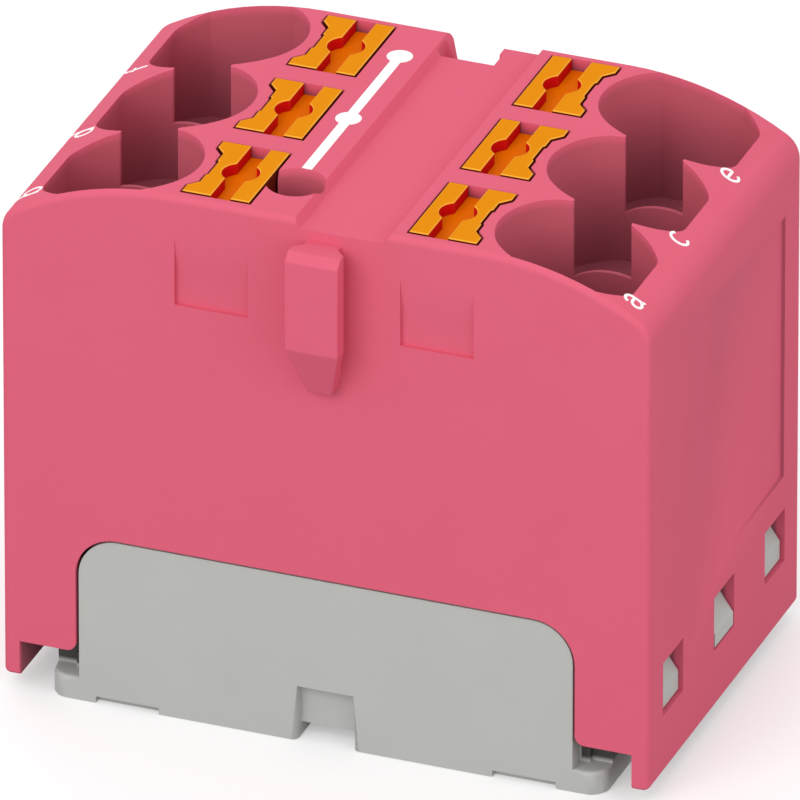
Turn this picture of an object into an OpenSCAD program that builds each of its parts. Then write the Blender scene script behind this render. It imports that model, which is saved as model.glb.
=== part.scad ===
// Six-way push-in distribution block with release levers and a snap-in mounting base.
// X runs along the block, Y through its depth and Z up. The origin is the middle of the
// mounting face. The key stands on the -Y face and the slot that takes it is in the +Y face.

/* [Housing] */
// Length of the housing over its end faces
body_l = 28.6; // [28.4:0.1:32]
// Depth of the housing between its front and rear faces, which the three pole rows fill
body_d = 17.84; // [16.6:0.02:20]
// Height of the crown above the mounting face
body_h = 24.48; // [23.2:0.02:27]
// Half width of the flat middle of the crown
crown_flat = 6.8; // [5:0.1:8]
// Radius that drops the crown towards each end
crown_r = 13.5; // [12:0.5:20]
// Radius between the crown and each end face
shoulder_r = 1.2; // [0.8:0.1:2]
// Rounding of the outer edges
edge_r = 0.3; // [0.1:0.05:0.4]
// Thickness of the end walls
end_wall = 0.73; // [0.6:0.01:1]
// Thickness of the front and rear walls
side_wall = 0.8; // [0.7:0.05:1]
// Height of the end walls' feet above the mounting face
foot_z = 0.66; // [0.2:0.02:1]
// Height of the skirt between a foot and the base cut-out
skirt_z = 2.29; // [1.6:0.05:3]
// Radius of the skirt's corner beside the base cut-out
skirt_r = 0.42; // [0.2:0.02:0.8]

/* [Poles] */
// Width of a clamp chamber
chamber_w = 4.24; // [4.2:0.02:4.6]
// Distance of the chambers' inner wall from the middle plane
chamber_x = 1.2; // [1:0.1:1.6]

/* [Conductor entries] */
// Distance of an entry pocket's middle from the middle plane
pocket_x = 10; // [9.9:0.05:10.2]
// How far two neighbouring pockets run into each other
pocket_merge = 0.1; // [0.06:0.02:0.3]
// Distance between the centres of a pocket's two end radii
pocket_stretch = 0.72; // [0.3:0.02:0.8]
// Thickness of the deck under an entry pocket
entry_floor = 2.1; // [1.9:0.05:2.6]
// Wall left between a pocket and the end face, at the flat
pocket_end_wall = 1.3; // [1:0.05:1.6]
// Rounding at both sides of that flat
pocket_fillet = 0.9; // [0.4:0.05:1.2]
// Wall left between a pocket and the front or rear face
pocket_rim = 0.26; // [0.2:0.02:0.5]
// Rounding of the cusps between neighbouring pockets
cusp_r = 0.12; // [0.08:0.01:0.25]
// Depth of the webs' arched tops below the crown
web_drop = 3.18; // [2.8:0.02:3.6]
// Radius of that arch
web_r = 3; // [2.6:0.1:4]
// How far the arch's peak lies outside the pockets' middle
web_out = 0.4; // [0:0.05:0.6]
// Thickness of the webs between neighbouring pockets
web_t = 0.2; // [0.15:0.05:0.4]
// Distance of the conductor bore from the middle plane
bore_x = 10.5; // [10.3:0.05:10.7]
// Radius of the conductor bore
bore_r = 1.5; // [1.2:0.05:1.7]
// Radius of the lead-in cone at the pocket floor
cone_r = 2.5; // [2.2:0.05:2.8]
// Height of the lead-in cone
cone_h = 1; // [0.6:0.05:1.2]

/* [Release levers] */
// Distance of a lever's inner face from the middle plane
lever_x = 3.52; // [3.4:0.02:3.6]
// Width of a lever over its outer tips
lever_w = 2.95; // [2.9:0.01:3]
// Length of a lever along Y
lever_l = 4.62; // [4.5:0.02:4.7]
// Height of a lever's top above the crown
lever_proud = 0.07; // [0:0.01:0.3]
// Gap between a lever and its shaft
lever_gap = 0.1; // [0.06:0.01:0.14]
// Depth of the hollow along the lever's outer side
waist_in = 0.48; // [0.3:0.02:0.6]
// Length of that hollow
hollow_l = 3.54; // [3:0.02:3.8]
// Length of the ramp at each end of the hollow
hollow_ramp = 0.45; // [0.3:0.05:0.6]
// Height of the low step in the middle of the hollow
hollow_step = 0.08; // [0.02:0.02:0.12]
// Length of the hollow between its two steps
step_l = 1.3; // [1:0.1:1.5]
// Width of the screwdriver groove
groove_w = 0.87; // [0.7:0.01:1]
// Distance of the groove from the lever's inner face
groove_in = 0.83; // [0.7:0.01:0.95]
// Depth of the groove
groove_depth = 0.55; // [0.4:0.05:0.9]
// Radius of the round widening in the groove
dimple_r = 0.8; // [0.6:0.02:0.9]
// Travel of a lever from rest to its lower stop
lever_travel = 1.2; // [0.8:0.1:1.4]
// Width of the foot that presses the spring
foot_w = 3; // [2.6:0.1:3.1]
// Height of the foot's upright back edge
heel_h = 0.5; // [0.3:0.1:0.8]
// Radius of the foot's nose
nose_r = 0.35; // [0.25:0.05:0.45]
// Distance of the nose from the conductor bore
nose_in = 0.85; // [0.7:0.05:1]
// Gap between the nose and the clamping leg at rest
nose_gap = 0.03; // [0.02:0.01:0.08]

/* [Clamps] */
// Height of the busbar's lower face
bar_z = 8.2; // [8:0.05:8.5]
// Thickness of the busbar
bar_t = 0.8; // [0.6:0.05:1]
// Thickness of the clamp springs
spring_t = 0.35; // [0.25:0.05:0.4]
// Width of the clamp springs
spring_w = 3.2; // [3:0.05:3.3]
// Inner radius of the spring's bend
bend_r = 1; // [0.8:0.05:1.1]
// Height of the spring's bend centre above the busbar
bend_h = 5.2; // [4.9:0.05:5.3]
// Slope of the clamping leg
leg_slope = 25; // [22:1:27]
// Height of the fixed leg's end above the busbar
spring_foot = 0.3; // [0.1:0.1:0.5]
// Room between a spring's bend and the deck above it
head_room = 0.93; // [0.7:0.01:1.4]
// Sheet thickness of the clamp cages
cage_t = 0.3; // [0.2:0.05:0.35]
// Outer radius of a cage's folds
cage_r = 0.4; // [0.35:0.05:0.6]
// Distance of a cage's back from the chamber's inner wall
cage_back = 0.7; // [0.5:0.05:0.9]
// How far the cages end below the springs' bends
cage_drop = 0.4; // [0.2:0.1:0.8]
// Height of the straps along a cage's sides
strap_h = 2; // [1.5:0.1:2.4]
// Height of the straps' lower edges above the busbar
strap_z = 1.4; // [1:0.1:1.6]
// How far the busbar's tongue stands into the line of the bore
tongue_in = 0.1; // [0.05:0.05:0.3]
// Distance of a tongue's top from the deck
tongue_top = 0.6; // [0.4:0.1:1]
// Radius of the bend at a tongue's foot
tongue_r = 0.4; // [0.3:0.05:0.6]
// Length of the slits between neighbouring tongues
slit_l = 3; // [2:0.1:4]

/* [Base] */
// Height of the base's front and rear plates
plate_h = 7.71; // [7:0.01:7.8]
// Distance of a plate's ends from the housing's end faces
plate_end = 3.36; // [3.3:0.02:3.8]
// Thickness of the plates
plate_t = 0.9; // [0.75:0.05:1]
// Radius of the plates' upper corners
plate_r = 1.75; // [1:0.05:2.2]
// Gap between the plates and the housing's cut-out
plate_gap = 0.12; // [0.08:0.01:0.2]
// How far the plates lie behind the housing's faces
plate_in = 0.075; // [0.02:0.005:0.15]
// Distance of the flange's ends from the housing's end faces
flange_end = 2; // [1.7:0.05:2.3]
// Thickness of the flange
flange_t = 1.03; // [0.8:0.01:1.2]
// Bevel of the flange's corners
flange_bevel = 0.5; // [0.3:0.05:0.8]
// Thickness of the base's floor
floor_t = 1.7; // [1.4:0.1:2]
// Thickness of the snap walls
snap_t = 0.9; // [0.7:0.05:1]
// Half width of the pry notch
notch_x = 1.25; // [1:0.05:1.5]
// Height of the pry notch
notch_h = 2.56; // [2:0.02:3]
// Depth of the pry notch into a plate
notch_in = 0.5; // [0.3:0.05:0.6]
// Depth of the pry slot under the notch
pry_l = 3; // [2:0.1:4]
// Inner end of each shallow relief in the plates' lower edges
relief_x = 7.4; // [7:0.05:8]
// Length of those reliefs
relief_l = 2.8; // [2:0.05:2.9]
// Height and depth of those reliefs
relief_h = 0.3; // [0.1:0.05:0.4]
// Places of the ribs that carry the busbar, from the middle plane
rib_x = [3.2, 8.2];
// Thickness of the ribs
rib_t = 1; // [0.8:0.1:1.4]
// How far the snap walls and the ribs' sides end below the busbar
snap_low = 0.8; // [0.6:0.1:1.2]
// Width of the slots between the snap fingers
finger_gap = 0.8; // [0.5:0.1:1.2]

/* [Snap windows] */
// Width of the windows in the end walls
window_w = 2.37; // [2.2:0.01:2.6]
// Height of the windows' lower edge
window_z = 3.35; // [3:0.05:3.6]
// Height of the windows
window_h = 2.5; // [2.2:0.05:2.6]
// Gap at each side of a snap nose in its window
nose_side = 0.12; // [0.08:0.01:0.2]
// How far the outer snap noses lie behind the end face
nose_back = 0.18; // [0.1:0.02:0.3]
// Height of a nose's flat tip
nose_tip = 0.86; // [0.7:0.02:1]
// Slope of a nose's upper face, as rise over run
nose_rise = 1.5; // [1:0.1:2]

/* [Crown details] */
// Left edge of the marking strip
strip_x0 = -1.1; // [-1.2:0.02:-0.9]
// Right edge of the marking strip
strip_x1 = 2.69; // [2.5:0.01:2.8]
// Depth of the marking strip
strip_depth = 0.4; // [0.2:0.02:0.45]
// How far the strip's edges lean out over that depth
strip_lean = 0.21; // [0.05:0.01:0.3]
// Distance of the test hole from the middle plane
test_x = 2.4; // [2.35:0.01:2.45]
// Radius of the test hole
test_r = 1.17; // [1.1:0.01:1.18]
// Width of the lead-in round the test hole
test_lead = 0.09; // [0.05:0.01:0.12]

/* [Key and slot] */
// How far the key stands out of the front face
key_out = 1.48; // [1.2:0.02:1.6]
// Half width of the key's neck
neck_x = 0.75; // [0.6:0.01:0.85]
// Half width of the key's head
head_x = 1.17; // [1:0.01:1.3]
// Thickness of the head's straight edge
head_t = 0.75; // [0.5:0.05:0.9]
// Depth of the key's top below the crown
key_top = 0.88; // [0.6:0.02:1.2]
// Length of the key's straight stretch
key_l = 4.45; // [3:0.05:6]
// Length of the key's tapered tip
tip_l = 2.35; // [1.5:0.05:3]
// Half width of the tip's end
tip_x = 0.53; // [0.3:0.01:0.7]
// How far the tip's end stands out of the front face
tip_out = 0.48; // [0.3:0.02:0.7]
// Bevel at the top of the key's front
key_bevel = 0.35; // [0.2:0.05:0.5]
// Gap round the key in its slot
slot_gap = 0.08; // [0.05:0.01:0.15]
// Lead-in at the top of the slot's neck, each side
slot_lead = 0.37; // [0.1:0.01:0.5]
// Height of that lead-in
slot_lead_h = 1.88; // [1:0.02:2.5]

/* [Face recesses] */
// Near edge of a finger recess from the middle plane
recess_x = 3.35; // [3:0.05:4]
// Width of a finger recess
recess_w = 3.24; // [2.8:0.02:3.6]
// Height of a finger recess
recess_h = 3.09; // [2.5:0.01:3.5]
// Depth of a finger recess's top edge below the crown
recess_top = 1.93; // [1.5:0.01:2.5]
// Depth of a finger recess
recess_in = 0.2; // [0.15:0.05:0.4]
// Depth of the shallow ramp in each end face
ramp_in = 0.15; // [0.05:0.01:0.25]
// Where the ramp starts and where it is deepest, along Y
ramp_y = [0.33, 7.02];
// Height of the ramp's lower edge above the mounting face
ramp_z = 7.41; // [7:0.01:8]
// Depth of the ramp's upper edge below the crown
ramp_top = 4.81; // [4.5:0.01:6]

/* [Hidden] */
$fn = 64;
eps = 0.01;
over = 1;                                  // how far a cutter runs past a face

half_l = body_l / 2;
half_d = body_d / 2;
pitch = (body_d - chamber_w) / 2 - side_wall;
bar_top = bar_z + bar_t;
bend_z = bar_top + bend_h;
ceiling_z = bend_z + bend_r + spring_t + head_room;    // roof of the clamp chambers
pocket_r = (pitch + pocket_merge) / 2;
pocket_z = ceiling_z + entry_floor;        // floor of the entry pockets
pocket_h = body_h - pocket_z + over;
cone_z = pocket_z - cone_h;
strip_z = body_h - strip_depth;
test_y = -pitch + 0.1;
rows = [-1, 0, 1];
sides = [-1, 1];

// Clamp layout, outwards from the middle plane
play = 0.05;                               // fitting clearance inside the chambers
cage_x0 = chamber_x + cage_back;
leg_x = cage_x0 + cage_t;                  // back of the spring's fixed leg
bend_x = leg_x + spring_t + bend_r;
tongue_x = bore_x + bore_r - tongue_in;    // contact face of the busbar
cage_x1 = tongue_x + bar_t + cage_t;
chamber_x1 = cage_x1 + play;
cage_w = chamber_w - 2 * play;
tongue_w = cage_w - 2 * (cage_r + play);
cavity_y = half_d - side_wall;
cavity_x = half_l - end_wall;
plate_x = half_l - plate_end;
flange_x = half_l - flange_end;

// Spring: where the bend ends and the clamping leg's top surface
mid_r = bend_r + spring_t / 2;
leg_x0 = bend_x + mid_r * sin(leg_slope);
leg_z0 = bend_z + mid_r * cos(leg_slope);
leg_len = (tongue_x - play - leg_x0 - spring_t / 2 * sin(leg_slope)) / cos(leg_slope);
function leg_top(x) = leg_z0 + spring_t / 2 / cos(leg_slope) - (x - leg_x0) * tan(leg_slope);

// Lever foot: a wedge under the deck whose nose rests on the clamping leg
nose_x = bore_x - bore_r - nose_in - nose_r;
nose_z = leg_top(nose_x) + nose_r / cos(leg_slope) + nose_gap;
foot_top = ceiling_z - play;

// ---------------------------------------------------------------- placing

// pole i is a to f: even ones on +X, odd ones mirrored on -X, rows from -Y to +Y
function pole_y(i) = rows[floor(i / 2)] * pitch;
module at_pole(i) { translate([0, pole_y(i), 0]) mirror([i % 2, 0, 0]) children(); }
module each_pole() { for (i = [0:5]) at_pole(i) children(); }
module each_side() { for (s = sides) mirror([s < 0 ? 1 : 0, 0, 0]) children(); }
module front_and_rear() { for (s = sides) mirror([0, s > 0 ? 1 : 0, 0]) children(); }

// a box from its lowest to its highest corner
module box(lo, hi) { translate(lo) cube(hi - lo); }
// a profile drawn in X and Z, extruded along Y from y0 to y1
module along_y(y0, y1) { translate([0, y1, 0]) rotate([90, 0, 0]) linear_extrude(y1 - y0) children(); }
// a profile drawn in Y and Z, extruded along X from x0 to x1
module along_x(x0, x1) {
    translate([x0, 0, 0]) rotate([90, 0, 90]) linear_extrude(x1 - x0) children();
}

// ---------------------------------------------------------------- housing

// points of the right half of the crown, from the flat to the end face, inset by d
shoulder_a = asin((half_l - shoulder_r - crown_flat) / (crown_r - shoulder_r));
function crown_points(d) = concat(
    [for (k = [0:10]) let (a = shoulder_a * k / 10)
        [crown_flat + (crown_r - d) * sin(a), body_h - crown_r + (crown_r - d) * cos(a)]],
    [for (k = [1:6]) let (a = shoulder_a + (90 - shoulder_a) * k / 6)
        [half_l - shoulder_r + (shoulder_r - d) * sin(a),
         body_h - crown_r + (crown_r - shoulder_r) * cos(shoulder_a) + (shoulder_r - d) * cos(a)]]);
function mirrored(p) = [for (k = [len(p) - 1:-1:0]) [-p[k][0], p[k][1]]];

// the outer form: slices of the crown profile, inset along a quarter round at each face
module shell() {
    intersection() {
        hull() for (k = [0:4]) let (a = 90 * k / 4, d = edge_r * (1 - sin(a)))
            along_y(-half_d + edge_r * (1 - cos(a)), half_d - edge_r * (1 - cos(a)))
                polygon(concat(crown_points(d), mirrored(crown_points(d)),
                               [[-half_l + d, -over], [half_l - d, -over]]));
        box([-body_l, -body_d, foot_z], [body_l, body_d, body_h + over]);
    }
}

// plan of an oval entry pocket whose outer end is cut flat and rounded off
module pocket_plan() {
    x0 = pocket_x - pocket_stretch / 2;
    x1 = pocket_x + pocket_stretch / 2;
    flat_x = min(half_l - pocket_end_wall, x1 + pocket_r - eps);
    fx = flat_x - pocket_fillet;
    fy = sqrt(pow(pocket_r - pocket_fillet, 2) - pow(fx - x1, 2));
    translate([x0, 0]) circle(r = pocket_r);
    translate([x0, -pocket_r]) square([pocket_stretch, 2 * pocket_r]);
    intersection() {
        translate([x1, 0]) circle(r = pocket_r);
        polygon([[0, -2 * pocket_r], [2 * fx - x1, -2 * fy], [x1, 0], [2 * fx - x1, 2 * fy],
                 [0, 2 * pocket_r]]);
    }
    for (s = sides) translate([fx, s * fy]) circle(r = pocket_fillet);
    polygon([[x1, 0], [fx, -fy], [flat_x, -fy], [flat_x, fy], [fx, fy]]);
}

// opens the cusp between two pockets and leaves its tip round
cusp_x = sqrt(pow(pocket_r + cusp_r, 2) - pow(pitch / 2, 2));
cusp_f = pocket_r / (pocket_r + cusp_r);
module cusp_opening() {
    reach = pocket_stretch / 2 + cusp_x * cusp_f;
    difference() {
        box([pocket_x - reach, -pitch / 2 * (1 - cusp_f), pocket_z],
            [pocket_x + reach, pitch / 2 * (1 - cusp_f), body_h + over]);
        for (s = sides) translate([pocket_x + s * (pocket_stretch / 2 + cusp_x), 0, pocket_z - over])
            cylinder(r = cusp_r, h = pocket_h + 2 * over, $fn = 32);
    }
}

module entries() {
    difference() {
        intersection() {
            union() {
                each_pole() translate([0, 0, pocket_z]) linear_extrude(pocket_h) pocket_plan();
                each_side() for (s = sides) translate([0, s * pitch / 2, 0]) cusp_opening();
            }
            box([-body_l, -half_d + pocket_rim, 0], [body_l, half_d - pocket_rim, body_h + over]);
        }
        each_side() for (s = sides) along_y(s * pitch / 2 - web_t / 2, s * pitch / 2 + web_t / 2)
            translate([pocket_x + web_out, body_h - web_drop - web_r]) circle(r = web_r);
    }
    each_pole() {
        translate([bore_x, 0, cone_z]) cylinder(r1 = bore_r, r2 = cone_r, h = cone_h + eps);
        translate([bore_x, 0, ceiling_z - over]) cylinder(r = bore_r, h = cone_z - ceiling_z + over);
    }
}

// outline of a lever and, with a gap, of its shaft
function lever_points(g) =
    let (x0 = lever_x - g, x1 = lever_x + lever_w + g, xw = x1 - waist_in, xs = xw + hollow_step,
         y = lever_l / 2 + g, y3 = hollow_l / 2 - g, y2 = y3 - hollow_ramp,
         y1 = step_l / 2 + hollow_step / 2 - g, y0 = y1 - hollow_step)
    [[x0, -y], [x1, -y], [x1, -y3], [xs, -y2], [xs, -y1], [xw, -y0],
     [xw, y0], [xs, y1], [xs, y2], [x1, y3], [x1, y], [x0, y]];

module lever_shaft() {
    z = ceiling_z - lever_travel - 2 * play;
    translate([0, 0, z]) linear_extrude(body_h + over - z) polygon(lever_points(lever_gap));
}

// clamp chambers, the room below them for the busbar, and the cut-outs for the base
module inside() {
    each_pole() box([chamber_x, -chamber_w / 2, bar_top - eps], [chamber_x1, chamber_w / 2, ceiling_z]);
    box([-cavity_x, -cavity_y, foot_z - over], [cavity_x, cavity_y, bar_top]);
    x = plate_x + plate_gap;
    z = plate_h + plate_gap;
    r = plate_r + plate_gap;
    front_and_rear() {
        along_y(-half_d - over, -cavity_y + over) {
            plate_outline(x, z, r, -over);
            translate([-cavity_x, -over]) square([2 * cavity_x, skirt_z + over]);
            for (s = sides) translate([s * (x + skirt_r / 2), skirt_z + skirt_r / 2]) difference() {
                square(skirt_r, center = true);
                translate([s * skirt_r / 2, skirt_r / 2]) circle(r = skirt_r, $fn = 32);
            }
        }
    }
}

// a plate with two round upper corners, drawn in X and Z
module plate_outline(x, z, r, z0) {
    translate([-x, z0]) square([2 * x, z - r - z0]);
    translate([-x + r, z0]) square([2 * (x - r), z - z0]);
    for (s = sides) translate([s * (x - r), z - r]) circle(r = r);
}

module test_hole() {
    translate([-test_x, test_y, 0]) {
        translate([0, 0, ceiling_z - over]) cylinder(r = test_r, h = body_h - ceiling_z + 2 * over);
        translate([0, 0, body_h - edge_r]) cylinder(r1 = test_r, r2 = test_r + test_lead, h = edge_r + eps);
    }
}

// The key is the overlap of its plan, side and front outlines, so each taper is cut once.
// With a gap and a top it makes the slot.
module key(g, top) {
    tip_z = body_h - key_top - key_l - tip_l - g;
    y1 = key_out + g;
    y0 = key_out - head_t - g;
    x1 = head_x + g;
    xn = neck_x + g;
    straight_z = tip_z + tip_l;
    tip_y = tip_out + g;
    bevel = g > 0 ? 0 : key_bevel;
    intersection() {
        translate([0, -half_d, 0]) linear_extrude(body_h + over) polygon(
            [[-xn, over], [-xn, -y0 + head_x - neck_x], [-x1, -y0], [-x1, -y1], [x1, -y1], [x1, -y0],
             [xn, -y0 + head_x - neck_x], [xn, over]]);
        along_x(-x1 - over, x1 + over) translate([-half_d, 0]) polygon(
            [[over, tip_z], [-tip_y, tip_z], [-y1, straight_z], [-y1, top - bevel],
             [-y1 + bevel, top], [over, top]]);
        along_y(-half_d - y1 - over, -half_d + 2 * over) polygon(
            [[-tip_x - g, tip_z], [tip_x + g, tip_z], [x1, straight_z], [x1, top], [-x1, top],
             [-x1, straight_z]]);
    }
}

// the key's counterpart in the rear face, with a neck that opens towards the crown
module slot() {
    x = neck_x + slot_gap;
    z = body_h - slot_lead_h;
    translate([0, 2 * half_d, 0]) key(slot_gap, body_h + over);
    along_y(half_d - key_out + head_t, half_d + over) polygon(
        [[-x, z], [x, z], [x + slot_lead, body_h], [x + slot_lead, body_h + over],
         [-x - slot_lead, body_h + over], [-x - slot_lead, body_h]]);
}

// shallow strip along the crown with leaning edges
module strip() {
    x0 = strip_x0 - strip_lean;
    x1 = strip_x1 + strip_lean;
    along_y(-body_d, body_d) polygon([[strip_x0, strip_z], [strip_x1, strip_z], [x1, body_h],
        [x1, body_h + over], [x0, body_h + over], [x0, body_h]]);
}

// finger recess: ramps in from its upper edge, then runs down to a ledge
module finger_recess() {
    z1 = body_h - recess_top;
    z0 = z1 - recess_h;
    along_x(recess_x, recess_x + recess_w) translate([-half_d, 0]) polygon(
        [[-over, z1], [0, z1], [recess_in, z1 - recess_h / 2], [recess_in, z0], [-over, z0]]);
}

// shallow ramp in an end face, deepest towards the rear
module end_ramp() {
    translate([half_l, 0, ramp_z]) linear_extrude(body_h - ramp_top - ramp_z)
        polygon([[0, ramp_y[0]], [over, ramp_y[0]], [over, ramp_y[1]], [-ramp_in, ramp_y[1]]]);
}

module housing() {
    color([0.86, 0.38, 0.47]) union() {
        difference() {
            shell();
            inside();
            entries();
            each_pole() lever_shaft();
            test_hole();
            strip();
            slot();
            each_side() {
                finger_recess();
                end_ramp();
                for (r = rows) translate([0, r * pitch, 0])
                    box([cavity_x - over, -window_w / 2, window_z],
                        [half_l + over, window_w / 2, window_z + window_h]);
            }
        }
        intersection() {
            key(0, body_h - key_top);
            box([-body_l, -body_d, 0], [body_l, -half_d + eps, body_h]);
        }
    }
}

// ---------------------------------------------------------------- base

module flange() {
    x = flange_x;
    y = half_d - plate_in;
    c = flange_bevel;
    linear_extrude(flange_t) polygon([[-x + c, -y], [x - c, -y], [x, -y + c], [x, y - c],
        [x - c, y], [-x + c, y], [-x, y - c], [-x, -y + c]]);
}

// a snap nose: flat underside, upright tip and a sloped upper face; back is how far its tip
// lies behind the end face
module snap_nose(back) {
    w = window_w - 2 * nose_side;
    z0 = window_z + nose_side;
    z1 = window_z + window_h - play;
    x = half_l - back;
    slope_z = z0 + nose_tip - (nose_back - back) * nose_rise;
    along_y(-w / 2, w / 2) polygon([[flange_x - eps, z0], [x, z0], [x, slope_z],
        [x - (z1 - slope_z) / nose_rise, z1], [flange_x - eps, z1]]);
}

module mounting_base() {
    y1 = half_d - plate_in;
    y0 = y1 - plate_t;
    wall_x = flange_x - snap_t;
    wall_y = cavity_y - finger_gap / 2;
    snap_top = bar_z - snap_low;
    color([0.7, 0.7, 0.68]) difference() {
        union() {
            flange();
            box([-wall_x, -y0 - eps, 0], [wall_x, y0 + eps, floor_t]);
            front_and_rear() along_y(-y1, -y0) plate_outline(plate_x, plate_h, plate_r, 0);
            each_side() {
                box([wall_x, -wall_y, 0], [flange_x, wall_y, snap_top]);
                for (r = rows) translate([0, r * pitch, 0]) snap_nose(r == 0 ? 0 : nose_back);
                for (x = rib_x) {
                    box([x, -y0 - eps, floor_t - eps], [x + rib_t, y0 + eps, snap_top - eps]);
                    box([x, -cavity_y + over, floor_t - eps], [x + rib_t, cavity_y - over, bar_z]);
                }
            }
        }
        each_side() for (s = sides) translate([0, s * pitch / 2, 0])
            box([wall_x - over, -finger_gap / 2, floor_t], [flange_x + over, finger_gap / 2, bar_z]);
        front_and_rear() {
            box([-notch_x, -y1 - over, -over], [notch_x, -y1 + notch_in, notch_h]);
            box([-notch_x, -y1 - over, -over], [notch_x, -y1 + pry_l, foot_z]);
            each_side() box([relief_x, -y1 - over, -over], [relief_x + relief_l, -y1 + relief_h, relief_h]);
        }
    }
}

// ---------------------------------------------------------------- current path

// tinned strip with a tongue turned up at each pole
module busbar() {
    r = tongue_r;
    x1 = tongue_x + bar_t;
    w = 2 * pitch + tongue_w;
    slit_w = pitch - tongue_w;
    color([0.8, 0.8, 0.78]) difference() {
        union() {
            box([-x1 + bar_t + r, -w / 2, bar_z], [x1 - bar_t - r, w / 2, bar_top]);
            each_pole() {
                box([x1 - bar_t, -tongue_w / 2, bar_top + r], [x1, tongue_w / 2, ceiling_z - tongue_top]);
                intersection() {
                    translate([x1 - bar_t - r, 0, bar_top + r]) rotate([90, 0, 0]) difference() {
                        cylinder(r = r + bar_t, h = tongue_w, center = true);
                        cylinder(r = r, h = tongue_w + over, center = true);
                    }
                    box([x1 - bar_t - r, -tongue_w, bar_z], [x1, tongue_w, bar_top + r]);
                }
            }
        }
        each_side() for (s = sides) translate([0, s * pitch / 2, 0])
            box([x1 - slit_l, -slit_w / 2, bar_z - over], [x1 + over, slit_w / 2, bar_top + over]);
    }
}

// leaf spring: fixed leg, bend and sloping clamping leg, in the plane of X and Z
module clamp_spring() {
    reach = 2 * (bend_r + spring_t);
    color([0.75, 0.76, 0.78]) along_y(-spring_w / 2, spring_w / 2) {
        translate([leg_x, bar_top + spring_foot]) square([spring_t, bend_z - bar_top - spring_foot]);
        intersection() {
            translate([bend_x, bend_z]) difference() {
                circle(r = bend_r + spring_t);
                circle(r = bend_r);
            }
            translate([bend_x, bend_z])
                polygon([[0, 0], [-reach, 0], [-reach, reach], [reach * tan(leg_slope), reach]]);
        }
        translate([leg_x0, leg_z0]) rotate(-leg_slope) translate([-eps, -spring_t / 2])
            square([leg_len + eps, spring_t]);
    }
}

// steel frame round the spring, the conductor and the busbar's tongue
module clamp_cage() {
    l = cage_x1 - cage_x0;
    h = bend_h - cage_drop;
    open_x0 = leg_x + spring_t + cage_back;    // the uprights are as wide as the room behind
    open_x1 = tongue_x - bore_r;
    color([0.68, 0.69, 0.71]) difference() {
        translate([(cage_x0 + cage_x1) / 2, 0, bar_top]) linear_extrude(h) difference() {
            cage_outline(l, cage_w, cage_r);
            cage_outline(l - 2 * cage_t, cage_w - 2 * cage_t, cage_r - cage_t);
        }
        box([open_x0, -cage_w, bar_top - over], [open_x1, cage_w, bar_top + strap_z]);
        box([open_x0, -cage_w, bar_top + strap_z + strap_h], [open_x1, cage_w, bar_top + h + over]);
    }
}
module cage_outline(l, w, r) {
    square([l - 2 * r, w], center = true);
    square([l, w - 2 * r], center = true);
    for (s = sides, t = sides) translate([s * (l / 2 - r), t * (w / 2 - r)]) circle(r = r, $fn = 32);
}

// ---------------------------------------------------------------- release lever

module release_lever() {
    top = body_h + lever_proud;
    gx = lever_x + groove_in;
    heel = lever_x + play;
    color([0.93, 0.58, 0.04]) {
        difference() {
            translate([0, 0, foot_top - eps]) linear_extrude(top - foot_top + eps) polygon(lever_points(0));
            box([gx, -lever_l, top - groove_depth], [gx + groove_w, lever_l, top + over]);
            translate([gx + groove_w / 2, 0, top - groove_depth])
                cylinder(r = dimple_r, h = groove_depth + over);
        }
        along_y(-foot_w / 2, foot_w / 2) {
            polygon([[heel, foot_top], [heel, foot_top - heel_h], [nose_x - nose_r, nose_z],
                     [nose_x + nose_r, nose_z], [nose_x + nose_r, foot_top]]);
            translate([nose_x, nose_z]) circle(r = nose_r, $fn = 32);
        }
    }
}

housing();
mounting_base();
busbar();
at_pole(0) release_lever();  // release_lever_a
at_pole(1) release_lever();  // release_lever_b
at_pole(2) release_lever();  // release_lever_c
at_pole(3) release_lever();  // release_lever_d
at_pole(4) release_lever();  // release_lever_e
at_pole(5) release_lever();  // release_lever_f
at_pole(0) clamp_spring();  // clamp_spring_a
at_pole(1) clamp_spring();  // clamp_spring_b
at_pole(2) clamp_spring();  // clamp_spring_c
at_pole(3) clamp_spring();  // clamp_spring_d
at_pole(4) clamp_spring();  // clamp_spring_e
at_pole(5) clamp_spring();  // clamp_spring_f
at_pole(0) clamp_cage();  // clamp_cage_a
at_pole(1) clamp_cage();  // clamp_cage_b
at_pole(2) clamp_cage();  // clamp_cage_c
at_pole(3) clamp_cage();  // clamp_cage_d
at_pole(4) clamp_cage();  // clamp_cage_e
at_pole(5) clamp_cage();  // clamp_cage_f
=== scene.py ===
import math

import bmesh
import bpy
from mathutils import Matrix, Vector


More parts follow.
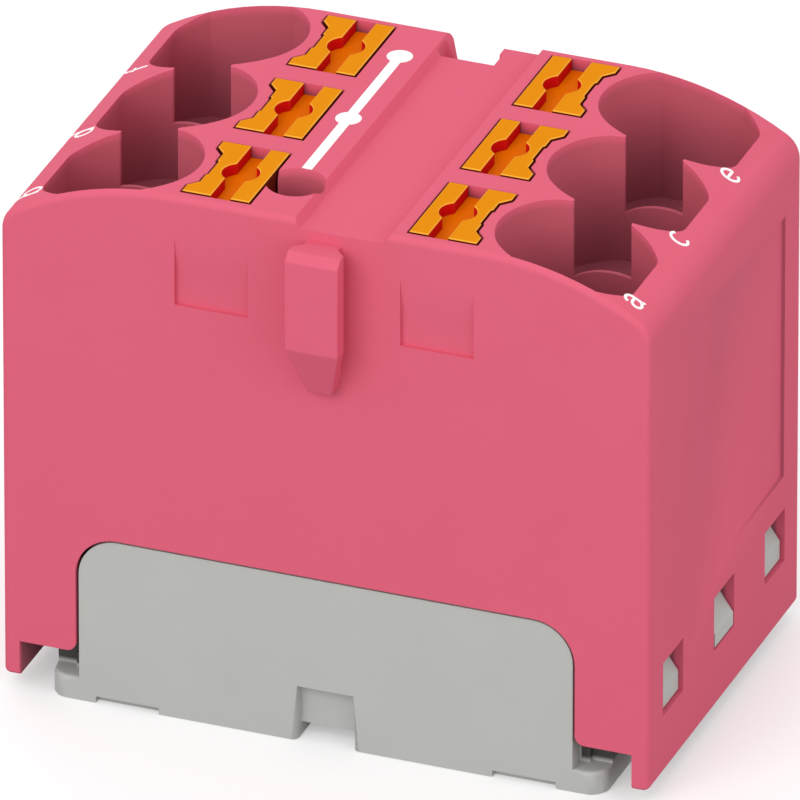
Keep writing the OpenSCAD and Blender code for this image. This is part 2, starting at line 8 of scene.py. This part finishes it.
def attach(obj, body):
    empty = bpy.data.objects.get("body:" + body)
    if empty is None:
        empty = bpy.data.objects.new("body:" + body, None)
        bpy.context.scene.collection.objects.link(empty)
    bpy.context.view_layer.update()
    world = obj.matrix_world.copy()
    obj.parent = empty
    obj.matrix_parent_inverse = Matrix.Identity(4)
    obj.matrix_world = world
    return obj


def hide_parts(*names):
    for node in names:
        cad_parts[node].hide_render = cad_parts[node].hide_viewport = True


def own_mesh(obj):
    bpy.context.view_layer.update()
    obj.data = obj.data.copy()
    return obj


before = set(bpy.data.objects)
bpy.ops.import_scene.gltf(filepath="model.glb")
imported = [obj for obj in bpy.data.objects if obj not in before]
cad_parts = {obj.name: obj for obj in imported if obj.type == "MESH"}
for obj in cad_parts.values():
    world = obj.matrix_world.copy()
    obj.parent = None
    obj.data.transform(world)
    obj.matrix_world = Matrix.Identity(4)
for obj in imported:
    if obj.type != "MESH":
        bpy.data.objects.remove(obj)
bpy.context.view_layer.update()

# ---------------------------------------------------------------- camera
# The block is seen from the right of its key and from above, through a long lens a long way
# off, so its edges stay nearly parallel.

MM = 0.001
AZIMUTH, ELEVATION = math.radians(21.06), math.radians(28.37)
DISTANCE, TO_RIGHT, TO_TOP = 1251.7, -0.078, 10.378
SENSOR, LENS_IN_SENSORS = 36, 37.5875
back = Vector(
    (
        math.sin(AZIMUTH) * math.cos(ELEVATION),
        -math.cos(AZIMUTH) * math.cos(ELEVATION),
        math.sin(ELEVATION),
    )
)
right = Vector((math.cos(AZIMUTH), math.sin(AZIMUTH), 0))
up = back.cross(right)
lens = bpy.data.cameras.new("camera")
lens.sensor_width = SENSOR
lens.lens = LENS_IN_SENSORS * SENSOR
lens.clip_end = 10
camera = bpy.data.objects.new("camera", lens)
camera.matrix_world = (
    Matrix.Translation((back * DISTANCE + right * TO_RIGHT + up * TO_TOP) * MM)
    @ Matrix((right, up, back)).transposed().to_4x4()
)
bpy.context.scene.collection.objects.link(camera)
bpy.context.scene.camera = camera
bpy.context.scene.view_settings.view_transform = "Standard"

# ---------------------------------------------------------------- mounting base
# The grey base is one moulding in glass-filled polyamide: a flange with a plate at the front
# and one at the rear, ribs for the busbar, and snap fingers whose noses catch in the housing's
# windows.


class Sock:
    """A socket whose operators add the Math nodes that work them out."""

    def __init__(self, tree, out):
        self.tree, self.out = tree, out

    def math(self, how, *args):
        n = self.tree.nodes.new("ShaderNodeMath")
        n.operation = how
        for k, a in enumerate(args):
            if isinstance(a, Sock):
                self.tree.links.new(a.out, n.inputs[k])
            else:
                n.inputs[k].default_value = a
        return Sock(self.tree, n.outputs[0])

    def __add__(self, o):
        return self.math("ADD", self, o)

    def __sub__(self, o):
        return self.math("SUBTRACT", self, o)

    def __rsub__(self, o):
        return self.math("SUBTRACT", o, self)

    def __mul__(self, o):
        return self.math("MULTIPLY", self, o)

    def __abs__(self):
        return self.math("ABSOLUTE", self)

    __radd__ = __add__
    __rmul__ = __mul__


def linear(colour):
    """An sRGB colour of 0 to 255 as the shader wants it."""
    srgb = [c / 255 for c in colour]
    return [*(c / 12.92 if c <= 0.04045 else ((c + 0.055) / 1.055) ** 2.4 for c in srgb), 1.0]


class Nodes:
    """A node tree and the one way of adding a node to it."""

    def __init__(self, tree):
        self.tree = tree

    def node(self, kind, settings=None, out=0, **inputs):
        """The output of a new node. An input goes by its name, or by its place as i0 or i1."""
        n = self.tree.nodes.new("ShaderNode" + kind)
        for k, v in (settings or {}).items():
            setattr(n, k, v)
        for k, v in inputs.items():
            s = n.inputs[int(k[1:])] if k[1:].isdigit() else n.inputs[k.replace("_", " ")]
            if isinstance(v, Sock):
                self.tree.links.new(v.out, s)
            else:
                s.default_value = v
        return Sock(self.tree, n.outputs[out])


class Finish(Nodes):
    """One material, and the noises, masks and mixes that its finish is made of."""

    def __init__(self, name, colour, roughness, metallic=0.0, shine=0.5):
        self.mat = bpy.data.materials.new(name)
        self.mat.use_nodes = True
        super().__init__(self.mat.node_tree)
        self.bsdf = self.tree.nodes["Principled BSDF"]
        self.set("Base Color", linear(colour))
        self.set("Roughness", roughness)
        self.set("Metallic", metallic)
        self.set("Specular IOR Level", shine)
        at = self.node("TexCoord", out="Object")
        self.at = self.node("VectorMath", {"operation": "SCALE"}, Vector=at, Scale=1 / MM)

    def set(self, name, value):
        """Gives one of the material's own sockets a value or a link."""
        if isinstance(value, Sock):
            self.tree.links.new(value.out, self.bsdf.inputs[name])
        else:
            self.bsdf.inputs[name].default_value = value

    def noise(self, scale, detail=2.0, stretch=(1, 1, 1)):
        """Noise of so many swirls a millimetre, stretched along an axis."""
        at = self.node("VectorMath", {"operation": "MULTIPLY"}, i0=self.at, i1=stretch)
        return self.node("TexNoise", Vector=at, Scale=scale, Detail=detail)

    def axis(self, k, vector=None):
        """Part k of a vector, or of the place on the piece in millimetres."""
        return self.node("SeparateXYZ", out=k, Vector=vector or self.at)

    def ease(self, value, low, high):
        """0 at low, 1 at high and eased between them."""
        how = {"interpolation_type": "SMOOTHSTEP"}
        return self.node("MapRange", how, i0=value, i1=low, i2=high)

    def mix(self, t, a, b):
        """Colour a where t is 0 and colour b where it is 1."""
        a, b = (c if isinstance(c, Sock) else linear(c) for c in (a, b))
        return self.node("Mix", {"data_type": "RGBA"}, out=2, i0=t, i6=a, i7=b)

    def bump(self, height, strength, depth):
        """Fine unevenness of the surface, its depth in millimetres."""
        bump = self.node("Bump", Height=height, Strength=strength, Distance=depth * MM)
        self.set("Normal", bump)


BROAD_FLAT, FAR_BROADER = 8, 3


def calm_flats(mesh):
    """Lights each face by its own plane: the roundings at its edges turn towards its normal,
    and a flat of more than BROAD_FLAT square millimetres isn't bent by small faces beside it."""
    rim = mesh.attributes["rim"].data
    beside = [[] for v in mesh.vertices]
    for f in mesh.polygons:
        if not rim[f.index].value:
            for v in f.vertices:
                beside[v].append((f.area, f.index))
    normals = []
    for v in mesh.vertices:
        found = sorted(beside[v.index], reverse=True)
        if not found:
            normals.append(v.normal)
            continue
        widest = found[0][0]
        alone = len(found) < 2 or widest > FAR_BROADER * found[1][0]
        if widest > BROAD_FLAT * MM**2 and alone:
            found = found[:1]
        planes = [mesh.polygons[k].normal for area, k in found]
        normals.append(sum(planes, Vector()).normalized())
    mesh.normals_split_custom_set_from_vertices([tuple(n) for n in normals])


SAME_POINT, SAME_PLANE = 1e-7, math.radians(0.7)
EDGE_ANGLE = 25


def rounded(name, node, finish, edge, special=(), crisp=lambda p: False):
    """A copy of a solid with its edges rounded as the mould or the press leaves them. special
    holds the radius, least angle and test of the edges that show a rounding. The rest get the
    radius edge as far as short edges beside them allow, and stay sharp where crisp says so."""
    bm = bmesh.new()
    bm.from_mesh(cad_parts[node].data)
    bmesh.ops.remove_doubles(bm, verts=bm.verts, dist=SAME_POINT)
    bmesh.ops.dissolve_limit(bm, angle_limit=SAME_PLANE, verts=bm.verts, edges=bm.edges)
    rim = bm.faces.layers.int.new("rim")
    for radius, angle, wanted in [*special, (edge, EDGE_ANGLE, None)]:
        picked = []
        for e in bm.edges:
            if not e.is_manifold or e.calc_face_angle() <= math.radians(angle):
                continue
            ends = [v.co / MM for v in e.verts]
            middle, way = (ends[0] + ends[1]) / 2, (ends[1] - ends[0]).normalized()
            if wanted is None:
                rounds = not crisp(middle)
            else:
                rounds = e.is_convex and wanted(middle, way)
            if rounds:
                picked.append(e)
        made = bmesh.ops.bevel(
            bm,
            geom=picked,
            offset=radius * MM,
            segments=2 if wanted is None else 3,
            profile=0.5,
            affect="EDGES",
            clamp_overlap=True,
        )
        for f in made["faces"]:
            f[rim] = 1
    for f in bm.faces:
        f.smooth = True
    mesh = bpy.data.meshes.new(name)
    bm.to_mesh(mesh)
    bm.free()
    calm_flats(mesh)
    mesh.materials.append(finish.mat)
    piece = bpy.data.objects.new(name, mesh)
    bpy.context.scene.collection.objects.link(piece)
    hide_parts(node)
    return piece


FLANGE_T, PLATE_X, NOTCH_X = 1.03, 10.94, 1.25
GAP_FOOT, GAP_TOP, GAP_X = 1.06, 3.3, PLATE_X + 0.02
base_grey = Finish("base_grey", (184, 185, 181), 0.55, shine=0.35)
cloud = base_grey.noise(0.35)
open_face = base_grey.mix(cloud, (182, 183, 179), (187, 188, 184))
# painted shade: little light reaches the gap beside each plate, above the flange, so it is painted
# dark grey there
height, outward = base_grey.axis(2), abs(base_grey.axis(0))
painted_gap_shade = base_grey.ease(height, GAP_FOOT, GAP_FOOT + 0.24)
painted_gap_shade = painted_gap_shade * base_grey.ease(height, GAP_TOP, GAP_TOP - 0.2)
painted_gap_shade = painted_gap_shade * base_grey.ease(outward, GAP_X, GAP_X + 0.08)
base_grey.set("Base Color", base_grey.mix(painted_gap_shade, open_face, (66, 66, 63)))
base_grey.set("Roughness", base_grey.noise(6.0) * 0.1 + 0.5)
base_grey.bump(base_grey.noise(12.0), 0.12, 0.01)


def upright(d):
    return abs(d.z) > 0.99


def flange_corner(p, d):
    return upright(d) and abs(p.x) > 11.5 and abs(p.y) > 8.3 and p.z < 1.1


def flange_top(p, d):
    return abs(p.z - FLANGE_T) < 0.02 and abs(p.x) > 11 and abs(p.y) > 7.7


def notch_side(p, d):
    beside = abs(abs(p.x) - NOTCH_X) < 0.02 and abs(p.y) > 8.3 and p.z < 2
    return beside and (upright(d) or p.z < 0.02)


base = rounded(
    "mounting_base_moulding",
    "mounting_base",
    base_grey,
    0.1,
    special=(
        (0.25, EDGE_ANGLE, flange_corner),
        (0.2, EDGE_ANGLE, flange_top),
        (0.25, EDGE_ANGLE, notch_side),
    ),
)
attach(base, "block")

# ---------------------------------------------------------------- busbar
# One strip of tinned copper lies on the base's ribs and joins all six poles. Its tongues are
# stamped and turned up into the clamps, so only their faces show through the entries.


def dress(node, finish):
    """Gives a solid that stays as it is its finish."""
    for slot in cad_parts[node].material_slots:
        slot.material = finish.mat


tin = Finish("tinned_copper", (203, 203, 198), 0.35, 1.0)
grain = tin.noise(2.0, 3.0, (1, 6, 6))
tin.set("Base Color", tin.mix(grain, (190, 190, 184), (214, 214, 210)))
tin.set("Roughness", grain * 0.25 + 0.24)
tin.bump(tin.noise(14.0), 0.15, 0.01)
dress("busbar", tin)

# ---------------------------------------------------------------- clamp cages and springs
# Each pole has a cage folded from steel strip round the busbar's tongue, and a leaf spring of
# stainless strip whose sloping leg presses the conductor on that tongue. On the real block the
# leaf gives way from its fixed end as the lever comes down; here it stays as drawn.

POLES = "abcdef"
cage_steel = Finish("cage_steel", (173, 176, 181), 0.4, 1.0)
grain = cage_steel.noise(3.0, 3.0, (1, 1, 8))
cage_steel.set("Base Color", cage_steel.mix(grain, (160, 163, 168), (184, 187, 191)))
cage_steel.set("Roughness", grain * 0.25 + 0.3)
spring_steel = Finish("spring_steel", (191, 194, 199), 0.28, 1.0)
grain = spring_steel.noise(3.0, 3.0, (1, 10, 1))
spring_steel.set("Base Color", spring_steel.mix(grain, (180, 183, 188), (202, 204, 208)))
spring_steel.set("Roughness", grain * 0.2 + 0.2)
for pole in POLES:
    dress("clamp_cage_" + pole, cage_steel)
    leaf = rounded("spring_leaf_" + pole, "clamp_spring_" + pole, spring_steel, 0.03)
    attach(leaf, "block")
    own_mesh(leaf)

# ---------------------------------------------------------------- housing
# The housing is one shell moulded in pink polyamide, snapped over the base's noses. Six oval
# wells lead the wires in, a key stands on its front and the slot for the next block's key is
# in its rear.

BODY_H = 24.48
CROWN_FLAT, CROWN_R = 6.8, 13.5
FOOT_Z, FRONT_Y = 0.66, -8.95
RAMP_FOOT, RAMP_TOP = 7.3, 20
WELLS_IN, WELLS_OUT, WELLS_DEEP = 3.4, 13.8, 8.67
LINE_X, TEST_HOLE_Y = -2.4, -5.9
pink = Finish("housing_pink", (222, 100, 124), 0.5, shine=0.01)
outward, deep = abs(pink.axis(0)), abs(pink.axis(1))
# the depth below the crown, whose ends fall away nearly as a parabola
drop = pink.node("Math", {"operation": "MAXIMUM"}, i0=outward - CROWN_FLAT, i1=0.0)
depth = BODY_H - drop * drop * (0.515 / CROWN_R) - pink.axis(2)
# painted shade: the walls of the wells, the shafts and the test hole are painted darker than the
# outside, and darker still deeper down
well_shade_mask = pink.ease(outward, WELLS_OUT + 0.2, WELLS_OUT)
well_shade_mask = well_shade_mask * pink.ease(outward, WELLS_IN - 0.1, WELLS_IN)
well_shade_mask = well_shade_mask * pink.ease(deep, WELLS_DEEP + 0.04, WELLS_DEEP)
across, behind = pink.axis(0) - LINE_X, pink.axis(1) - TEST_HOLE_Y
well_shade_mask = well_shade_mask + pink.ease(across * across + behind * behind, 1.6, 1.5)
skin = pink.mix(pink.noise(0.3), (221, 99, 123), (223, 102, 126))
painted_well_shade = pink.mix(pink.ease(depth, 0.5, 5.9), (197, 94, 111), (170, 93, 107))
# the painted shade goes on below a thin band at each rim
pink.set("Base Color", pink.mix(well_shade_mask * pink.ease(depth, 0.04, 0.5), skin, painted_well_shade))
pink.set("Roughness", pink.noise(6.0) * 0.1 + 0.45)
pink.bump(pink.noise(12.0), 0.1, 0.01)


def foot_rim(p, d):
    return abs(p.z - FOOT_Z) < 0.02 and (abs(p.x) > 14.2 or abs(p.y) > 8.85)


def on_key(p, d):
    return p.y < FRONT_Y


def end_ramp(p):
    return abs(p.x) > 14.1 and abs(p.y) < 8.5 and RAMP_FOOT < p.z < RAMP_TOP


housing = rounded(
    "housing_shell",
    "housing",
    pink,
    0.08,
    special=((0.2, EDGE_ANGLE, foot_rim), (0.07, 13, on_key)),
    crisp=end_ramp,
)
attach(housing, "block")

# ---------------------------------------------------------------- release levers
# Six orange levers slide in shafts in the crown. Each is one moulding, with a slot across its
# top for a screwdriver's tip; pressed down, its foot opens the leaf spring below it.

LEVER_TOP = BODY_H + 0.07
PITCH = 6.0
SLOT_IN, SLOT_OUT, SLOT_HALF = 3.85, 5.7, 2.25
orange = Finish("lever_orange", (228, 139, 0), 0.42, shine=0.01)
# 1 where a face is level and 0 where it is upright. The roundings where an edge turns between them
# get a painted highlight
tilt = abs(orange.axis(2, orange.node("TexCoord", out="Normal")))
level = orange.ease(tilt, 0.05, 0.25)
edge_highlight = orange.ease(tilt, 0.1, 0.35) * orange.ease(tilt, 0.995, 0.9)
# painted shade: level faces sunk below the top, the slot's floor, are painted a deeper orange
low = orange.ease(orange.axis(2), LEVER_TOP - 0.12, LEVER_TOP - 0.4)
outward, along = abs(orange.axis(0)), orange.axis(1)
along = abs(orange.node("Math", {"operation": "WRAP"}, i0=along, i1=PITCH / 2, i2=-PITCH / 2))
in_slot = orange.ease(outward, SLOT_IN - 0.15, SLOT_IN)
in_slot = in_slot * orange.ease(outward, SLOT_OUT + 0.15, SLOT_OUT)
in_slot = in_slot * orange.ease(along, SLOT_HALF + 0.04, SLOT_HALF)
top = orange.mix(orange.noise(0.6), (226, 137, 0), (230, 142, 0))
# painted highlight of light orange on the roundings of the top's edges
top = orange.mix(edge_highlight * 0.6, top, (255, 196, 84))
flats = orange.mix(low, top, (232, 111, 0))
# painted shade on the upright faces: deep red on the slot's walls, dark brown on the other walls
upright_shade = orange.mix(in_slot, (96, 28, 14), (196, 18, 18))
orange.set("Base Color", orange.mix(level, upright_shade, flats))
orange.set("Roughness", orange.noise(6.0) * 0.1 + 0.38)
orange.bump(orange.noise(12.0), 0.1, 0.01)


def lever_rim(p, d):
    return p.z > LEVER_TOP - 0.02


for pole in POLES:
    lever = rounded(
        "lever_moulding_" + pole,
        "release_lever_" + pole,
        orange,
        0.12,
        special=((0.06, EDGE_ANGLE, lever_rim),),
    )
    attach(lever, "lever_" + pole)

# ---------------------------------------------------------------- printed marks
# A white line with two dots runs back from the test hole, and each well has its position's
# letter. They are pad printed in white ink, about a hundredth of a millimetre thick.

SHOULDER_R, HALF_L = 1.2, 14.3
TURN = math.asin((HALF_L - SHOULDER_R - CROWN_FLAT) / (CROWN_R - SHOULDER_R))
INK_T, INK_SINK = 0.014, 0.03


def on_crown(s, y, lift):
    """The point s along the crown from its middle, at depth y, that far above the surface."""
    side, s = (1 if s > 0 else -1), abs(s)
    if s < CROWN_FLAT:
        return Vector((side * s, y, BODY_H + lift)) * MM
    z = BODY_H - CROWN_R
    a = (s - CROWN_FLAT) / CROWN_R
    x, r = CROWN_FLAT, CROWN_R + lift
    if a > TURN:
        a = TURN + (a - TURN) * CROWN_R / SHOULDER_R
        x, z = HALF_L - SHOULDER_R, z + (CROWN_R - SHOULDER_R) * math.cos(TURN)
        r = SHOULDER_R + lift
    return Vector((side * (x + r * math.sin(a)), y, z + r * math.cos(a))) * MM


def ink_stroke(bm, points, width, place):
    """A raised stroke of ink along points; place puts a flat point on the crown."""
    pts = [Vector(p) for p in points]
    rings = []
    for k, p in enumerate(pts):
        before, after = pts[max(k - 1, 0)], pts[min(k + 1, len(pts) - 1)]
        along = (after - before).normalized() * width / 2
        side = Vector((-along.y, along.x))
        corners = ((-1, -INK_SINK), (-1, INK_T), (1, INK_T), (1, -INK_SINK))
        rings.append([bm.verts.new(place(p + side * f, lift)) for f, lift in corners])
    for a, b in zip(rings, rings[1:]):
        for j in range(4):
            bm.faces.new((a[j], a[j - 1], b[j - 1], b[j]))
    bm.faces.new(rings[0])
    bm.faces.new(rings[-1][::-1])


def ink_patch(bm, outline, place):
    """A raised patch of ink with the given outline, anticlockwise."""
    foot = [bm.verts.new(place(Vector(p), -INK_SINK)) for p in outline]
    face = [bm.verts.new(place(Vector(p), INK_T)) for p in outline]
    bm.faces.new(face)
    for k in range(len(outline)):
        bm.faces.new((foot[k - 1], foot[k], face[k], face[k - 1]))


def printed(name, bm):
    """A mark of white ink that stays on the housing."""
    bmesh.ops.recalc_face_normals(bm, faces=bm.faces)
    mesh = bpy.data.meshes.new(name)
    bm.to_mesh(mesh)
    bm.free()
    mesh.materials.append(white_ink.mat)
    piece = bpy.data.objects.new(name, mesh)
    bpy.context.scene.collection.objects.link(piece)
    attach(piece, "block")


white_ink = Finish("white_ink", (252, 250, 250), 0.45)
white_ink.set("Base Color", white_ink.mix(white_ink.noise(5.0), (246, 240, 241), (255, 254, 254)))
white_ink.set("Roughness", white_ink.noise(8.0) * 0.2 + 0.35)


def arc(centre, radii, start, end, count=14):
    """Points on an ellipse between two angles in degrees."""
    turn = [math.radians(start + (end - start) * k / count) for k in range(count + 1)]
    return [(centre[0] + radii[0] * math.cos(a), centre[1] + radii[1] * math.sin(a)) for a in turn]


LINE_W, DOT_R = 0.45, 0.55
LINE_Y, DOTS_Y = -4.65, (0.1, 6.0)
neck = math.degrees(math.asin(LINE_W / 2 / DOT_R))
right_edge = [(LINE_W / 2, LINE_Y)]
right_edge += arc((0, DOTS_Y[0]), (DOT_R, DOT_R), neck - 90, 90 - neck)
right_edge += arc((0, DOTS_Y[1]), (DOT_R, DOT_R), neck - 90, 90)
outline = right_edge + [(-x, y) for x, y in right_edge[-2::-1]]
bm = bmesh.new()
ink_patch(bm, outline, lambda p, lift: on_crown(LINE_X + p.x, p.y, lift))
printed("printed_line", bm)


def stem(x, top, count=8):
    """Points up an upright stroke, close enough to follow the curved crown."""
    return [(x, top * k / count) for k in range(count + 1)]


X_HEIGHT, ASCENDER, STROKE = 0.74, 1.26, 0.125
bowl = (0.25, X_HEIGHT / 2)
GLYPHS = {
    "a": [
        [
            *arc((0.24, 0.5), (0.21, 0.24), 165, 10),
            (0.45, 0.4),
            (0.45, 0.12),
            *arc((0.53, 0.1), (0.08, 0.1), 180, 280, 5),
        ],
        [(0.45, 0.42), (0.3, 0.42), *arc((0.2, 0.21), (0.2, 0.21), 80, 300), (0.45, 0.12)],
    ],
    "b": [stem(0, ASCENDER), arc((0.25, 0.37), bowl, 180, -180, 28)],
    "c": [arc((0.28, 0.37), (0.28, 0.37), 48, 312, 20)],
    "d": [stem(0.5, ASCENDER), arc((0.25, 0.37), bowl, 180, -180, 28)],
    "e": [arc((0.27, 0.37), (0.27, 0.37), 0, 315, 22), [(0.0, 0.39), (0.54, 0.39)]],
    "f": [
        stem(0.16, 1.02) + arc((0.38, 1.04), (0.22, 0.22), 180, 75, 8),
        [(0, 0.74), (0.4, 0.74)],
    ],
}
# how far past the crown's flat each letter's foot stands, the depth of its left side, its size
LETTERS = {
    "a": (7.05, -8.07, 1.1),
    "c": (6.9, -2.47, 1.1),
    "e": (6.9, 3.5, 1.1),
    "b": (-6.48, -7.8, 1.1),
    "d": (-6.36, -2.36, 1.1),
    "f": (-6.28, 3.85, 0.95),
}
for letter, (foot, left, size) in LETTERS.items():
    start = math.copysign(CROWN_FLAT, foot) + foot

    def place(p, lift):
        return on_crown(start - p.y * size, left + p.x * size, lift)

    bm = bmesh.new()
    for points in GLYPHS[letter]:
        ink_stroke(bm, points, STROKE, place)
    printed("printed_" + letter, bm)

# ---------------------------------------------------------------- table and studio
# The block stands on a pale matt table in a plain white room. A large soft lamp lights it
# from the front left, and two weaker ones from the right and from behind.

TABLE_HALF, TABLE_Z = 0.6, -0.02
table_mesh = bpy.data.meshes.new("table")
table_mesh.from_pydata(
    [(x * TABLE_HALF, y * TABLE_HALF, 0) for x, y in ((-1, -1), (1, -1), (1, 1), (-1, 1))],
    [],
    [(0, 1, 2, 3)],
)
table = bpy.data.objects.new("table", table_mesh)
table.location.z = TABLE_Z * MM
bpy.context.scene.collection.objects.link(table)


def straight_seen(nodes):
    """1 on the rays that show the room itself, in the lens, in metal or through glass."""
    names = ("Is Camera Ray", "Is Glossy Ray", "Is Transmission Ray")
    camera_ray, glossy, transmitted = (nodes.node("LightPath", out=n) for n in names)
    return camera_ray + glossy + transmitted


table_top = Finish("table_top", (230, 230, 230), 0.75)
speck = table_top.mix(table_top.noise(0.05), (158, 158, 158), (162, 162, 162))
seen = straight_seen(table_top)
table_top.set("Base Color", table_top.mix(seen, speck, (214, 214, 214)))
table_top.set("Emission Color", table_top.mix(seen, (0, 0, 0), (160, 160, 160)))
table_top.set("Emission Strength", 1.0)
table_mesh.materials.append(table_top.mat)

AMBIENT = 0.84
room = bpy.data.worlds.new("room")
bpy.context.scene.world = room
room.use_nodes = True
white_walls = room.node_tree.nodes["Background"]
white_walls.inputs["Color"].default_value = (1, 1, 1, 1)
strength = straight_seen(Nodes(room.node_tree)) * (1 - AMBIENT) + AMBIENT
room.node_tree.links.new(strength.out, white_walls.inputs["Strength"])

LAMP_SIZE, LAMP_AIM = 0.35, Vector((0, 0, 0.012))


def lamp(name, at, power):
    """A square soft lamp that faces the middle of the block."""
    data = bpy.data.lights.new(name, "AREA")
    data.size = LAMP_SIZE
    data.energy = power
    o = bpy.data.objects.new(name, data)
    o.location = at
    o.rotation_euler = (LAMP_AIM - Vector(at)).to_track_quat("-Z", "Y").to_euler()
    bpy.context.scene.collection.objects.link(o)


lamp("key_lamp", (-0.10, -0.40, 0.29), 0.94)
lamp("fill_lamp", (0.45, -0.17, 0.13), 0.46)
lamp("rear_lamp", (-0.22, 0.42, 0.16), 0.25)
